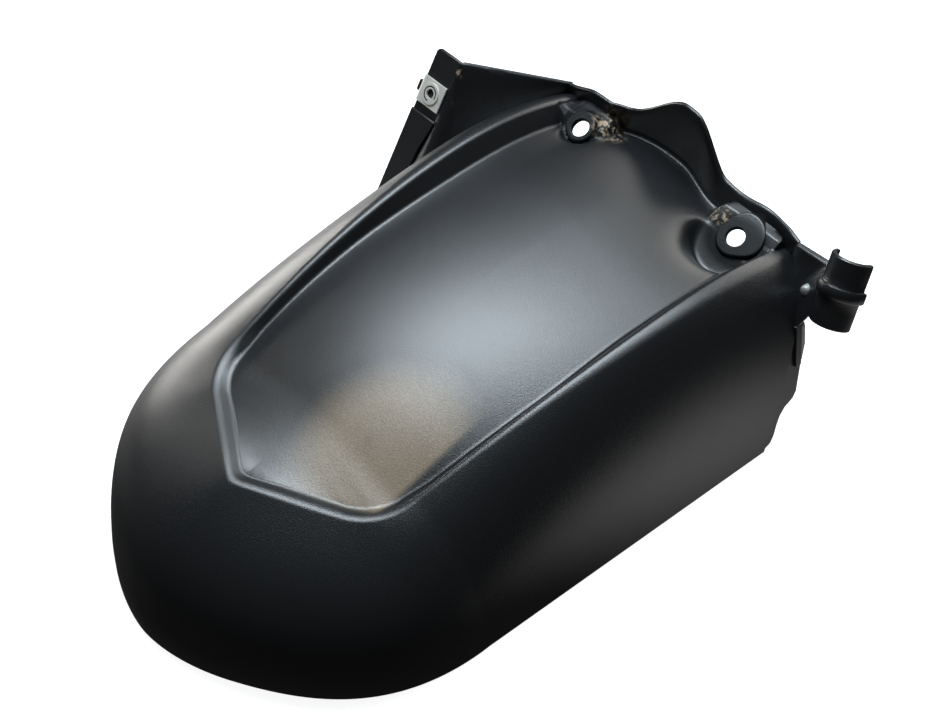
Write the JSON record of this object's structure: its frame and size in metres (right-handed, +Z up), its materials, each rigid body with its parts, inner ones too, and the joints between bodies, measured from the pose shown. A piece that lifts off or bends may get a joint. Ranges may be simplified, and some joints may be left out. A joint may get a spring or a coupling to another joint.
{
  "type": "motorcycle rear hugger mudguard",
  "caption": "Thin-walled black moulded rear hugger with a stepped top panel, front mounting wall, hose saddle and a side flange that carries a folded clip nut.",
  "frame": {"origin": "under the middle of the overall box, in the plane of the lower edge", "axes": "+Y forward to the mounting end, +X to the right-hand side, +Z up"},
  "size_m": [0.252, 0.3384, 0.1],
  "materials": {
    "black_plastic": "satin, fine spark-eroded grain",
    "zinc_steel": "zinc plated, dull"
  },
  "bodies": {
    "root": {"hugger_moulding": "black_plastic", "clip_nut": "zinc_steel"}
  },
  "joints": []
}
